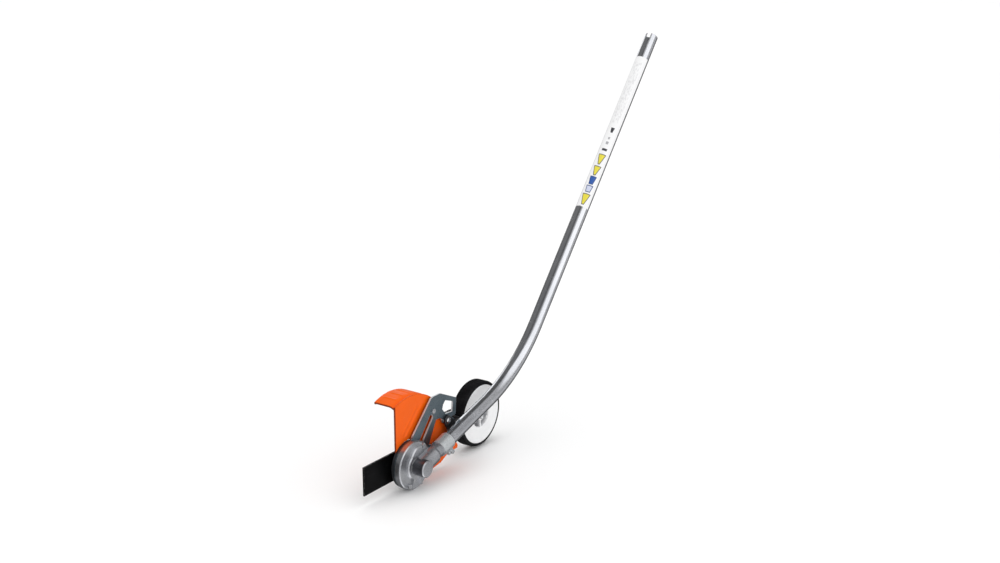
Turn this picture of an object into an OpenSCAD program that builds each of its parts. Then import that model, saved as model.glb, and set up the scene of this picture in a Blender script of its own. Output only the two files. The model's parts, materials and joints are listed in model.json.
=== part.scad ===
// Lawn edger attachment: a bent drive tube, a bevel gear head, a blade under a guard,
// and a depth wheel on a clamped arm.
// The row frame has its origin at the centre of the tube's open upper end, +X forwards
// (the way the tool travels), +Y to the left and +Z up. Shapes are drawn about the gear
// centre, where the lower tube axis crosses the spindle axis, and placed at the end.

/* [Drive tube] */
// Outer diameter of the drive tube
tube_d = 25.4; // [24:0.1:26]
// Wall of the drive tube
tube_wall = 1.6; // [1.2:0.1:2]
// Rise of the lower tube above the horizontal, degrees
lower_angle = 16.5; // [12:0.5:20]
// Rise of the upper tube above the horizontal, degrees
upper_angle = 49.8; // [44:0.2:56]
// Radius of the bend
bend_r = 323; // [280:1:360]
// Gear centre to the start of the bend
lower_len = 203; // [195:1:220]
// Straight part above the bend
upper_len = 639; // [500:1:700]
// Bare length above the label
bare_len = 55; // [45:1:60]
// Length of the wrapped label
label_len = 338; // [100:1:400]
// Thickness of the label's film
label_t = 0.08; // [0.05:0.01:0.09]

/* [Gear head] */
// Radius of the gear head's flange
flange_r = 42.5; // [41:0.5:44]
// Thickness of the flange
flange_t = 10; // [9.5:0.1:10.4]
// Radius of the spindle boss
boss_r = 15; // [14:0.2:16]
// Height of the spindle boss above the gear centre
boss_h = 16; // [14:0.5:18]
// Outer radius of the clamp sleeve on the tube
sleeve_r = 14.8; // [14.4:0.1:15.2]

/* [Bevel gears] */
// Module of the bevel gears at their outer ends
gear_m = 1.45; // [1.4:0.01:1.46]
// Teeth on the pinion
pinion_teeth = 15; // [15:1:15]
// Teeth on the spindle gear
ring_teeth = 21; // [21:1:21]

/* [Blade] */
// Length of the blade
blade_len = 203.2; // [180:0.2:206]
// Width of the blade
blade_w = 50.8; // [38:0.2:52]
// Thickness of the blade
blade_t = 2.8; // [2:0.1:3]

/* [Guard] */
// Outer radius of the hood over the blade
hood_r = 102; // [101:0.5:105]
// How far the hood reaches across the blade
hood_depth = 45; // [38:1:48]
// Wall of the guard
guard_t = 3; // [2.5:0.1:3.2]

/* [Wheel] */
// Radius of the wheel over its tyre
wheel_r = 60.8; // [56:0.2:62]
// Width of the wheel
wheel_w = 27; // [24:0.5:28]
// Radius of the white disc
disc_r = 54.4; // [50:0.2:55]

/* [Hidden] */
$fn = 64;

tube_r = tube_d / 2;
tube_in = tube_r - tube_wall;
clear = 0.05;

// Lower tube direction, bend centre, bend end and the tube's upper end, as [x, z]
low_dir = [-cos(lower_angle), sin(lower_angle)];
up_dir = [-cos(upper_angle), sin(upper_angle)];
bend_start = lower_len * low_dir;
bend_c = bend_start + bend_r * [sin(lower_angle), cos(lower_angle)];
bend_end = bend_c - bend_r * [sin(upper_angle), cos(upper_angle)];
tube_end = bend_end + upper_len * up_dir;

// Stations along the lower tube axis, measured from the gear centre
tube_start = 60;
sleeve_start = 53;
sleeve_end = 81;
bearing_t1 = 36;
bearing_w = 7;
bearing_gap = 3;
shaft_r = 4;
small_bearing_r = 9.5;
shaft_end = 74;

// Planes across the tool: near faces of the stacked plates, as y
flange_y = -11;
bracket_y = flange_y - flange_t;
bracket_t = 3;
cover_y = bracket_y - bracket_t;
cover_t = 7;
guard_y = cover_y - 4;
blade_y = -38.6;
arm_t = 3;
arm_y = bracket_y + arm_t + 0.1;

// Depth arm: pivot, clamp screw and wheel centre, as [x, z]
pivot = [-80, 3];
clamp_pos = [-102, 47];
wheel_c = [-213, 21];
wheel_y = -25.5;
cross_x = -138.5;
arm_low_z = 20;
arm_top_z = 40;
arm_far_y = -55;
bend_in = 2;
swing_down = 22;
swing_up = 2;
clamp_r = norm(clamp_pos - pivot);
clamp_a = atan2(clamp_pos[1] - pivot[1], clamp_pos[0] - pivot[0]);
slot_r = 4.2;

// Bevel gear geometry: cone distance, cone angles, face width, tooth heights
cone_r = gear_m / 2 * norm([pinion_teeth, ring_teeth]);
pinion_a = atan(pinion_teeth / ring_teeth);
ring_a = 90 - pinion_a;
face_w = 6;
addendum = 0.8 * gear_m;
dedendum = 1.1 * gear_m;
backlash = 0.5;

zinc = [0.74, 0.76, 0.78];
cast = [0.66, 0.67, 0.68];
steel = [0.55, 0.56, 0.58];
dark = [0.16, 0.16, 0.17];
orange = [0.93, 0.36, 0.07];
white = [0.94, 0.94, 0.94];
black = [0.05, 0.05, 0.05];

// ---------- placing helpers ----------

// Moves a shape drawn about the gear centre into the row frame
module place() {
    translate([-tube_end[0], 0, -tube_end[1]]) children();
}

// A plate drawn as [x, z], from its near face at y towards -Y
module plate(y, t) {
    translate([0, y, 0]) rotate([90, 0, 0]) linear_extrude(t) children();
}

// A round bar along -Y from y, at p = [x, z]
module bar_y(p, y, len, r) {
    translate([p[0], y, p[1]]) rotate([90, 0, 0]) cylinder(h = len, r = r);
}

// A turned shape along -Y: a profile of [radius, depth below y] points, at p = [x, z]
module turned_y(p, y, profile) {
    translate([p[0], y, p[1]]) rotate([90, 0, 0]) rotate_extrude() polygon(profile);
}

// A six-sided prism along -Y, across flats af
module hex_y(p, y, len, af) {
    translate([p[0], y, p[1]]) rotate([90, 0, 0]) cylinder(h = len, r = af / sqrt(3), $fn = 6);
}

// Local +Z along the lower tube axis, t from the gear centre; local +X is its upper side
module on_lower(t) {
    rotate([0, lower_angle - 90, 0]) translate([0, 0, t]) children();
}

// Local +Z along the upper tube axis, s from the tube's end
module on_upper(s) {
    translate([tube_end[0], 0, tube_end[1]]) rotate([0, upper_angle - 90, 0])
        translate([0, 0, s]) children();
}

// Two round ends joined by a straight bar, as an outline
module link(p, rp, q, rq) {
    d = norm(q - p);
    a = atan2(q[1] - p[1], q[0] - p[0]);
    b = acos((rp - rq) / d);
    translate(p) circle(rp);
    translate(q) circle(rq);
    polygon([
        p + rp * [cos(a + b), sin(a + b)],
        p + rp * [cos(a - b), sin(a - b)],
        q + rq * [cos(a - b), sin(a - b)],
        q + rq * [cos(a + b), sin(a + b)]
    ]);
}

// A point on the circle of radius r about c, as [x, z]
function on_circle(c, r, a) = c + r * [cos(a), sin(a)];

// A round rod that follows the drive tube from station t0 to gap short of the upper end.
// The bend is a hair thicker, and the straight ends run a little way into it.
lap = 1;
bend_more = 0.1;

module follow_tube(r, t0, gap) {
    on_lower(t0) cylinder(h = lower_len - t0 + lap, r = r);
    translate([bend_c[0], 0, bend_c[1]]) rotate([90, 0, 0]) rotate([0, 0, 270 - upper_angle])
        rotate_extrude(angle = upper_angle - lower_angle) translate([bend_r, 0]) circle(r + bend_more);
    on_upper(-upper_len - lap) cylinder(h = upper_len + lap - gap, r = r);
}

// A ball bearing along local +Z: outer ring, inner ring and balls
module ball_bearing(r_in, r_out, w, balls) {
    third = (r_out - r_in) / 3.2;
    mid = (r_in + r_out) / 2;
    ball = (r_out - r_in - 2 * third) / 2 - 0.05;
    difference() {
        cylinder(h = w, r = r_out);
        translate([0, 0, -1]) cylinder(h = w + 2, r = r_out - third);
    }
    difference() {
        cylinder(h = w, r = r_in + third);
        translate([0, 0, -1]) cylinder(h = w + 2, r = r_in);
    }
    for (i = [0 : balls - 1])
        rotate([0, 0, i * 360 / balls]) translate([mid, 0, w / 2]) sphere(ball, $fn = 24);
}

// A socket head screw along local -Z from its head's underside at 0
module cap_screw(r, head_r, head_h, len) {
    difference() {
        union() {
            cylinder(h = head_h, r = head_r);
            translate([0, 0, -len]) cylinder(h = len + 0.5, r = r);
        }
        translate([0, 0, head_h * 0.45]) cylinder(h = head_h, r = r * 0.9, $fn = 6);
    }
}

// ---------- drive tube and its shaft ----------

module drive_tube() {
    color(zinc) place() difference() {
        follow_tube(tube_r, tube_start, 0);
        follow_tube(tube_in, tube_start - 1, -1);
        // Keying notches in the open end
        on_upper(-9) translate([0, -4.5, -1]) cube([20, 9, 20]);
        on_upper(-5) translate([-20, -3, -1]) cube([20, 6, 20]);
    }
}

module tube_label() {
    color(white) place() on_upper(-bare_len - label_len) difference() {
        cylinder(h = label_len, r = tube_r + label_t);
        translate([0, 0, -1]) cylinder(h = label_len + 2, r = tube_r);
    }
}

module cable_liner() {
    color(black) place() difference() {
        follow_tube(5.6, shaft_end + 4, 52);
        follow_tube(3.6, shaft_end + 3, 51);
    }
}

guide_stations = [100, 180];
guide_upper = [-600, -460, -320, -180, -80];

module guide_ring() {
    difference() {
        cylinder(h = 16, r = tube_in - 0.02);
        translate([0, 0, -1]) cylinder(h = 18, r = 5.6);
        for (i = [0 : 3])
            rotate([0, 0, 45 + i * 90]) translate([8.6, 0, -1]) cylinder(h = 18, r = 1.6);
    }
}

module liner_guides() {
    color(dark) place() {
        for (t = guide_stations)
            on_lower(t) guide_ring();
        for (s = guide_upper)
            on_upper(s) guide_ring();
    }
}

module drive_cable() {
    color(steel) place() follow_tube(3.2, shaft_end + 0.3, 47.3);
}

module coupler_bush() {
    color(steel) place() on_upper(-46) difference() {
        cylinder(h = 22, r = tube_in);
        translate([0, 0, -1]) cylinder(h = 24, r = 5 + clear);
    }
}

// Splined stub that the power unit's shaft drives, running in the bush
coupler_splines = 8;

module drive_coupler() {
    color(steel) place() on_upper(0) difference() {
        union() {
            translate([0, 0, -47]) cylinder(h = 27, r = 5);
            translate([0, 0, -23.5]) cylinder(h = 2.5, r = 7.5);
            translate([0, 0, -21]) cylinder(h = 8.5, r = 4.2);
            for (i = [0 : coupler_splines - 1])
                rotate([0, 0, i * 360 / coupler_splines])
                    translate([3.5, -0.7, -21]) cube([1.5, 1.4, 8]);
        }
        translate([0, 0, -20]) cylinder(h = 9, r = 1.6);
    }
}

// ---------- gear head ----------

screw_angles = [121, 211, 301];
screw_pcr = 36.5;
case_c = [-10, 7];
case_r = 27;
neck_r = 12.4;
root_r = 15;
cavity_r = 17;
pinion_cavity_r = 12.8;
gear_seat_r = 4.6;

// Clamp lug under the sleeve, and its screw's line, measured from the tube's axis
lug_low = 21.5;
pinch_x = 16.6;
pinch_t = sleeve_end - 7;

module pinch_lug() {
    translate([-lug_low, -8, pinch_t - 6]) cube([lug_low - 8, 16, 12]);
}

module gear_housing() {
    color(cast) place() difference() {
        union() {
            // Flange with a bevelled near edge
            turned_y([0, 0], flange_y, [
                [0, 0], [flange_r - 1.6, 0], [flange_r, 1.6], [flange_r, flange_t], [0, flange_t]
            ]);
            // Raised pad round the boss, blending to the neck
            turned_y([0, 0], flange_y + 4, [[0, 0], [21.5, 0], [23.5, 2], [23.5, 5], [0, 5]]);
            turned_y(case_c, flange_y + 4, [[0, 0], [case_r - 2, 0], [case_r, 2], [case_r, 5], [0, 5]]);
            // Spindle boss with a bevelled end
            turned_y([0, 0], boss_h, [
                [0, 0], [boss_r - 1.5, 0], [boss_r, 1.5],
                [boss_r, boss_h - flange_y + 1], [0, boss_h - flange_y + 1]
            ]);
            // Neck round the pinion, its bearings and the tube
            on_lower(4) cylinder(h = 33, r = root_r);
            on_lower(37) cylinder(h = 5, r1 = root_r, r2 = neck_r);
            on_lower(41) cylinder(h = 14, r = neck_r);
            on_lower(sleeve_start) cylinder(h = sleeve_end - sleeve_start, r = sleeve_r);
            on_lower(0) pinch_lug();
            // Two ribs on the lower face of the flange
            for (a = [250, 285])
                plate(flange_y + 3, 4) link(on_circle([0, 0], 20, a), 2, on_circle([0, 0], 39, a), 2);
        }
        // Spaces for the spindle gear, the pinion and the spindle
        turned_y([0, 0], -6.1, [
            [0, 0], [12, 0], [cavity_r, 3.3], [cavity_r, 15], [0, 15]
        ]);
        bar_y([0, 0], 5, 20, 9);
        bar_y([0, 0], 11, 7, small_bearing_r);
        on_lower(6) cylinder(h = 30, r = pinion_cavity_r);
        // Bearing seat, circlip groove, shaft passage, tube seat
        on_lower(bearing_t1) cylinder(h = sleeve_end, r = small_bearing_r);
        on_lower(54) cylinder(h = 1.3, r = small_bearing_r + 0.8);
        on_lower(tube_start - 0.2) cylinder(h = 40, r = tube_r);
        // Clamp slit and pinch screw hole
        on_lower(0) translate([-40, -1, tube_start + 2]) cube([32, 2, 30]);
        on_lower(pinch_t) translate([-pinch_x, 20, 0]) rotate([90, 0, 0]) cylinder(h = 40, r = 2.6);
        on_lower(pinch_t) translate([-pinch_x, 28, 0]) rotate([90, 0, 0]) cylinder(h = 20, r = 4.5);
        for (a = screw_angles) {
            bar_y(on_circle([0, 0], screw_pcr, a), 0, 40, 2.6);
            bar_y(on_circle([0, 0], screw_pcr, a), 6, 6 - flange_y, 4.5);
        }
    }
}

module housing_screws() {
    color(zinc) place() for (a = screw_angles)
        translate([screw_pcr * cos(a), flange_y, screw_pcr * sin(a)]) rotate([-90, 0, 0])
            cap_screw(2.5, 4.2, 4.5, 19);
}

module pinch_screws() {
    color(zinc) place() on_lower(pinch_t)
        translate([-pinch_x, 8, 0]) rotate([-90, 0, 0]) cap_screw(2.5, 4.3, 4.6, 15.5);
}

module pinion_bearings() {
    color(steel) place() {
        on_lower(bearing_t1) ball_bearing(shaft_r + clear, small_bearing_r, bearing_w, 7);
        on_lower(bearing_t1 + bearing_w + bearing_gap)
            ball_bearing(shaft_r + clear, small_bearing_r, bearing_w, 7);
        on_lower(bearing_t1 + bearing_w) difference() {
            cylinder(h = bearing_gap, r = small_bearing_r);
            translate([0, 0, -1]) cylinder(h = bearing_gap + 2, r = small_bearing_r - 2);
        }
    }
}

module pinion_circlip() {
    color(dark) place() on_lower(54.1) difference() {
        cylinder(h = 1.1, r = small_bearing_r + 0.7);
        translate([0, 0, -1]) cylinder(h = 4, r = small_bearing_r - 1.4);
        translate([0, -3, -1]) cube([20, 6, 4]);
    }
}

module pinion_shaft() {
    color(steel) place() on_lower(0) difference() {
        union() {
            translate([0, 0, 11]) cylinder(h = 24.6, r = gear_seat_r);
            translate([0, 0, 35]) cylinder(h = shaft_end - 35, r = shaft_r);
            translate([0, 0, 58]) cylinder(h = shaft_end - 58, r = 7);
        }
        translate([-2, -2, 62]) cube([4, 4, 20]);
    }
}

// One tooth of a bevel gear, its apex at the origin, on the side of local +X.
// Corners run root, tip at the outer end, then the same at the inner end.
module bevel_tooth(cone_a) {
    root_h = -dedendum - 0.5;
    half = (PI * gear_m / 2 - backlash) / 2;
    slope = tan(20);
    ends = [1, 1 - face_w / cone_r];
    corners = [
        for (k = ends)
            for (c = [[root_h, 1], [root_h, -1], [addendum, -1], [addendum, 1]])
                k * [
                    cone_r * sin(cone_a) + c[0] * cos(cone_a),
                    c[1] * (half - slope * c[0]),
                    cone_r * cos(cone_a) - c[0] * sin(cone_a)
                ]
    ];
    polyhedron(corners, [
        [3, 2, 1, 0], [4, 5, 6, 7], [0, 1, 5, 4], [1, 2, 6, 5], [2, 3, 7, 6], [3, 0, 4, 7]
    ]);
}

// A bevel gear along local +Z: its blank, from inner root to back, and its teeth
module bevel_gear(teeth, cone_a, bore_r, back, hub_r, hub_end, phase) {
    outer = [
        cone_r * sin(cone_a) - dedendum * cos(cone_a),
        cone_r * cos(cone_a) + dedendum * sin(cone_a)
    ];
    inner = outer * (1 - face_w / cone_r);
    difference() {
        union() {
            rotate_extrude() polygon([
                [0, inner[1]], inner, outer, [outer[0], back], [0, back]
            ]);
            translate([0, 0, back - 0.5]) cylinder(h = hub_end - back + 0.5, r = hub_r);
            for (i = [0 : teeth - 1])
                rotate([0, 0, phase + i * 360 / teeth]) bevel_tooth(cone_a);
        }
        cylinder(h = 100, r = bore_r);
    }
}

module pinion_gear() {
    color(steel) place() on_lower(0)
        bevel_gear(pinion_teeth, pinion_a, gear_seat_r, 20, 7, 35.6, 270);
}

module ring_gear() {
    color(steel) place() rotate([90, 0, 0])
        bevel_gear(ring_teeth, ring_a, 6, 15.5, 8.8, 21.9, 180 - lower_angle + 180 / ring_teeth);
}

module spindle() {
    color(steel) place() difference() {
        turned_y([0, 0], 10.8, [
            [0, 0], [5, 0], [5, 17], [6, 17], [6, 51.9], [5, 51.9], [5, 64.8], [4.2, 65.6], [0, 65.6]
        ]);
        turned_y([0, 0], -6.8, [[5.3, 0], [8, 0], [8, 1.2], [5.3, 1.2]]);
    }
}

module spindle_circlip() {
    color(dark) place() difference() {
        bar_y([0, 0], -6.9, 1, 7.6);
        bar_y([0, 0], 0, 20, 5.35);
        translate([3, -20, -2.5]) cube([10, 20, 5]);
    }
}

module upper_bearing() {
    color(steel) place() translate([0, 10.9, 0]) rotate([90, 0, 0])
        ball_bearing(5 + clear, small_bearing_r, 6, 8);
}

module lower_bearing() {
    color(steel) place() translate([0, -22, 0]) rotate([90, 0, 0])
        ball_bearing(6 + clear, 14, 8, 9);
}

module spindle_seal() {
    color(black) place() difference() {
        bar_y([0, 0], -30.8, 4, 14);
        bar_y([0, 0], 0, 60, 9 + clear);
    }
}

cover_r = 41;

module bearing_cover() {
    color(dark) place() difference() {
        union() {
            turned_y([0, 0], cover_y, [
                [0, 0], [cover_r, 0], [cover_r, cover_t - 1.5], [cover_r - 1.5, cover_t], [0, cover_t]
            ]);
            bar_y([0, 0], bracket_y, 10, 19.8);
            bar_y([0, 0], cover_y, 11, 17.5);
        }
        bar_y([0, 0], -22, 8.8, 14);
        bar_y([0, 0], 0, 60, 12);
        bar_y([0, 0], -30.8, 10, 14);
        for (a = screw_angles)
            bar_y(on_circle([0, 0], screw_pcr, a), 0, 30, 2.5);
    }
}

// ---------- blade ----------

module arbor_flange() {
    color(steel) place() difference() {
        union() {
            bar_y([0, 0], -30.1, 8, 9);
            turned_y([0, 0], -36, [[0, 0], [18.5, 0], [20, 1.2], [20, 2.6], [0, 2.6]]);
            bar_y([0, 0], blade_y, blade_t - 0.4, 12.65);
        }
        bar_y([0, 0], 0, 60, 6);
    }
}

module blade() {
    color(black) place() plate(blade_y, blade_t) difference() {
        square([blade_len, blade_w], center = true);
        circle(12.7);
    }
}

module clamp_washer() {
    color(steel) place() translate([0, blade_y - blade_t, 0]) rotate([90, 0, 0]) difference() {
        rotate_extrude() polygon([[0, 0], [20, 0], [20, 1.6], [18.5, 2.6], [0, 2.6]]);
        translate([0, 0, -1]) cylinder(h = 6, r = 5);
    }
}

module blade_nut() {
    color(zinc) place() difference() {
        union() {
            hex_y([0, 0], -44, 8, 16);
            bar_y([0, 0], -44, 1.6, 10.5);
        }
        bar_y([0, 0], -40, 20, 5);
    }
}

// ---------- bracket and guard ----------

slot_a = [[-58.2, 65.5], [-31.4, 33.5]];
slot_a_r = 5.2;
guard_fix = [[-64, 76], [-48, -9]];

module bracket_outline() {
    difference() {
        union() {
            circle(41.8);
            // Front leg, top and window frame
            polygon([
                [-1, 41.5], [-59, 99.5], [-66, 101.5], [-85, 101.5], [-131, 80],
                [-129, 50], [-92, 47], [-40, 0]
            ]);
            // Lobe with the clamp slot, and the leg down to the pivot
            link(clamp_pos, 10.5, on_circle(pivot, clamp_r, clamp_a + swing_down), 10.5);
            link(on_circle(pivot, clamp_r, clamp_a + swing_down), 10.5, [-112, 14.5], 9);
            link([-112, 14.5], 9, pivot, 11);
            link(pivot, 8.5, [-30, -2], 14);
        }
        // Long slot, open middle, square window
        link(slot_a[0], slot_a_r, slot_a[1], slot_a_r);
        polygon([[-72, 57], [-84, 56.5], [-93, 50], [-108, 28], [-96, 18], [-70, 14], [-51, 18]]);
        polygon([[-99, 84.5], [-121.3, 75.8], [-119, 57.5], [-99, 59.5], [-90.5, 70.5], [-92.5, 78]]);
    }
}

// Arc slot that the clamp screw slides in
module clamp_slot() {
    steps = 8;
    step_a = (swing_down + swing_up) / steps;
    for (i = [0 : steps - 1]) {
        from_a = clamp_a - swing_up + i * step_a;
        link(
            on_circle(pivot, clamp_r, from_a), slot_r,
            on_circle(pivot, clamp_r, from_a + step_a), slot_r
        );
    }
}

module bracket() {
    color([0.52, 0.57, 0.6]) place() plate(bracket_y, bracket_t) difference() {
        bracket_outline();
        circle(20);
        clamp_slot();
        translate(pivot) circle(5);
        for (p = guard_fix)
            translate(p) circle(2.6);
        for (a = screw_angles)
            translate(on_circle([0, 0], screw_pcr, a)) circle(2.6);
    }
}

hood_c = [-9, 16];
hood_from = 67;
hood_to = 140;
side_front = 31;
side_low = 25;

module guard_side() {
    difference() {
        union() {
            intersection() {
                translate(hood_c) circle(hood_r - 0.01);
                polygon([
                    [side_front, side_low], [side_front, 130], [-88, 130],
                    [-88, 62], [-60, 0], [0, 0]
                ]);
            }
            polygon([
                [20, side_low], [0, 60], [-80, 90], [-90, 78], [-104, 46], [-121, 20],
                [-145, -16], [-143, -21], [-118, -21], [-94, -32], [-71, -35], [-30, -35], [-20, 0]
            ]);
        }
        circle(41.5);
        // Room for the pivot pin's head
        translate(pivot) circle(10);
    }
}

// Hood profile as [radius, depth below the guard's near face], with a rounded shoulder
module hood_profile() {
    shoulder = 14;
    difference() {
        union() {
            translate([hood_r - shoulder - 14, 0]) square([14, guard_t]);
            translate([hood_r - guard_t, shoulder]) square([guard_t, hood_depth - shoulder]);
            translate([hood_r - shoulder, shoulder]) circle(shoulder);
            translate([hood_r - guard_t - 1.5, hood_depth - 3]) square([guard_t + 1.5, 3]);
        }
        translate([hood_r - shoulder, shoulder]) circle(shoulder - guard_t);
        translate([hood_r - 2 * shoulder - 1, guard_t]) square([shoulder + 1, 2 * shoulder]);
        translate([hood_r - shoulder - 1, shoulder]) square([shoulder - guard_t + 1, shoulder + 1]);
    }
}

module guard() {
    color(orange) place() difference() {
        union() {
            plate(guard_y, guard_t) guard_side();
            translate([hood_c[0], guard_y, hood_c[1]]) rotate([90, 0, 0]) rotate([0, 0, hood_from])
                rotate_extrude(angle = hood_to - hood_from) hood_profile();
            for (p = guard_fix)
                bar_y(p, cover_y, cover_y - guard_y + 1, 6);
            for (a = [78, 88, 98])
                plate(guard_y - 12, 26) link(
                    on_circle(hood_c, hood_r, a), 1.2, on_circle(hood_c, hood_r - 1, a + 1), 1.2
                );
        }
        for (p = guard_fix)
            bar_y(p, cover_y + 1, 20, 2.1);
    }
}

module guard_screws() {
    color(zinc) place() for (p = guard_fix)
        translate([p[0], bracket_y, p[1]]) rotate([-90, 0, 0]) cap_screw(2.1, 4.2, 2.6, 10.5);
}

// ---------- depth arm ----------

module pivot_pin() {
    color(steel) place() difference() {
        union() {
            bar_y(pivot, arm_y + 3.4, arm_y + 3.4 - cover_y + 1, 5);
            bar_y(pivot, cover_y, 1.8, 8);
        }
        turned_y(pivot, arm_y + 2.2, [[4.1, 0], [6, 0], [6, 1.1], [4.1, 1.1]]);
    }
}

module pivot_washer() {
    color(zinc) place() difference() {
        bar_y(pivot, arm_y + 1.1, 1.05, 8.5);
        bar_y(pivot, 0, 40, 5 + clear);
    }
}

module pivot_clip() {
    color(dark) place() difference() {
        bar_y(pivot, arm_y + 2.15, 1, 7.2);
        bar_y(pivot, 0, 40, 4.15);
        translate([pivot[0], -40, pivot[1] - 3.4]) cube([12, 40, 6.8]);
    }
}

// The arm's strip where it crosses in front of the wheel, as [x, y] with round bends
module crossing_outline() {
    bend_out = bend_in + arm_t;
    near_c = [cross_x + bend_in, arm_y - bend_out];
    far_c = [cross_x - bend_out, arm_far_y + bend_in];
    difference() {
        translate(near_c) circle(bend_out);
        translate(near_c) circle(bend_in);
        translate(near_c) translate([0, -10]) square([10, 20]);
        translate(near_c) translate([-10, -10]) square([20, 10]);
    }
    translate([near_c[0], arm_y - arm_t]) square([3, arm_t]);
    translate([cross_x - arm_t, far_c[1]]) square([arm_t, near_c[1] - far_c[1]]);
    difference() {
        translate(far_c) circle(bend_out);
        translate(far_c) circle(bend_in);
        translate(far_c) translate([-10, -10]) square([10, 20]);
        translate(far_c) translate([-10, 0]) square([20, 10]);
    }
    translate([far_c[0] - 4, arm_far_y - arm_t]) square([4, arm_t]);
}

module wheel_arm() {
    near_x = cross_x + bend_in;
    color(black) place() difference() {
        union() {
            plate(arm_y, arm_t) union() {
                link(pivot, 11, [-114, 17], 10);
                link(clamp_pos, 9, [-119, 26], 12);
                link([-114, 17], 10, [-119, 26], 12);
                polygon([
                    [-119, 38], [near_x, arm_top_z], [near_x, arm_low_z], [-114, 7.2]
                ]);
            }
            translate([0, 0, arm_low_z]) linear_extrude(arm_top_z - arm_low_z) crossing_outline();
            plate(arm_far_y, arm_t) difference() {
                link([cross_x - 17, 30], 10, wheel_c, 13);
                translate([cross_x - 9, 0]) square([20, 60]);
            }
            translate([cross_x - 10, arm_far_y - arm_t, arm_low_z])
                cube([3, arm_t, arm_top_z - arm_low_z]);
        }
        bar_y(pivot, 0, 40, 5 + clear);
        bar_y(clamp_pos, 0, 40, 4.1);
        bar_y(wheel_c, -40, 40, 5.1);
    }
}

module clamp_screw() {
    color(zinc) place() difference() {
        union() {
            turned_y(clamp_pos, arm_y + 3.6, [[0, 0], [3.6, 0], [5.4, 1.4], [5.4, 2.4], [0, 2.4]]);
            bar_y(clamp_pos, arm_y + 2, 11.1, 4);
        }
        hex_y(clamp_pos, arm_y + 4.2, 2, 4);
    }
}

module clamp_washer_small() {
    color(zinc) place() difference() {
        bar_y(clamp_pos, arm_y + 1.2, 1.2, 8.6);
        bar_y(clamp_pos, 0, 40, 4.1);
    }
}

module slot_nut() {
    slot_dir = clamp_a + 90;
    color(steel) place() plate(cover_y - 0.1, 3) difference() {
        link(on_circle(clamp_pos, 5, slot_dir), 6.5, on_circle(clamp_pos, -5, slot_dir), 6.5);
        translate(clamp_pos) circle(4);
    }
}

// ---------- wheel ----------

axle_r = 6;
hub_far = wheel_y - wheel_w - 1.7;

module wheel_axle() {
    color(zinc) place() difference() {
        union() {
            turned_y(wheel_c, wheel_y + 7, [[0, 0], [6.6, 0], [8.2, 1.4], [8.2, 4.2], [0, 4.2]]);
            bar_y(wheel_c, wheel_y + 4, wheel_y + 4 - arm_far_y, axle_r);
            bar_y(wheel_c, arm_far_y + 1, 12.5, 5);
        }
        hex_y(wheel_c, wheel_y + 8, 3.6, 6);
    }
}

module axle_washers() {
    color(zinc) place() {
        difference() {
            bar_y(wheel_c, wheel_y + 2.75, 0.9, 9.4);
            bar_y(wheel_c, 0, 40, axle_r + 0.02);
        }
        difference() {
            bar_y(wheel_c, hub_far - 0.1, hub_far - 0.1 - arm_far_y, 10);
            bar_y(wheel_c, -40, 40, axle_r + 0.02);
        }
    }
}

module axle_nut() {
    color(zinc) place() difference() {
        union() {
            hex_y(wheel_c, arm_far_y - arm_t, 6.4, 16);
            bar_y(wheel_c, arm_far_y - arm_t, 1.4, 10.5);
        }
        bar_y(wheel_c, -40, 40, 5);
    }
}

// Dished disc: web, rim, hub and the ribs on its far side
module wheel_disc() {
    color(white) place() difference() {
        union() {
            turned_y(wheel_c, wheel_y, [
                [24.5, 0.8], [disc_r - 1.5, 0.8], [disc_r, 2.3], [disc_r, wheel_w - 1],
                [disc_r - 3.4, wheel_w - 1], [disc_r - 3.4, 4], [27.5, 4], [26, 12],
                [9, 12], [9, 9], [23, 9]
            ]);
            bar_y(wheel_c, wheel_y + 1.8, wheel_w + 3.5, 11);
            for (i = [0 : 5])
                translate([wheel_c[0], wheel_y - 3.5, wheel_c[1]]) rotate([90, 30 + i * 60, 0])
                    translate([10.5, -1.2, 0]) cube([disc_r - 12.5, 2.4, wheel_w - 8]);
        }
        bar_y(wheel_c, 0, 80, 8);
    }
}

module wheel_bushes() {
    color(dark) place() for (y = [wheel_y + 1.7, hub_far + 10])
        difference() {
            bar_y(wheel_c, y, 10, 8);
            bar_y(wheel_c, 0, 80, axle_r + clear);
        }
}

module tyre() {
    fillet = 4.4;
    color(black) place() translate([wheel_c[0], wheel_y, wheel_c[1]]) rotate([90, 0, 0])
        rotate_extrude($fn = 128) difference() {
            union() {
                translate([disc_r, 0]) square([wheel_r - disc_r - fillet, wheel_w]);
                translate([disc_r, fillet]) square([wheel_r - disc_r, wheel_w - 2 * fillet]);
                for (d = [fillet, wheel_w - fillet])
                    translate([wheel_r - fillet, d]) circle(fillet);
            }
            translate([disc_r - 10, -1]) square([10, wheel_w + 2]);
            for (d = [0.27, 0.42, 0.58, 0.73])
                translate([wheel_r, wheel_w * d]) circle(0.8, $fn = 24);
        }
}

drive_tube();
tube_label();
cable_liner();
liner_guides();
drive_cable();
coupler_bush();
drive_coupler();
gear_housing();
housing_screws();
pinch_screws();
pinion_bearings();
pinion_circlip();
pinion_shaft();
pinion_gear();
ring_gear();
spindle();
spindle_circlip();
upper_bearing();
lower_bearing();
spindle_seal();
bearing_cover();
arbor_flange();
blade();
clamp_washer();
blade_nut();
bracket();
guard();
guard_screws();
pivot_pin();
pivot_washer();
pivot_clip();
wheel_arm();
clamp_screw();
clamp_washer_small();
slot_nut();
wheel_axle();
axle_washers();
axle_nut();
wheel_disc();
wheel_bushes();
tyre();
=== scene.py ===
import json
import math

import bmesh
import bpy
from mathutils import Matrix, Vector

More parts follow.
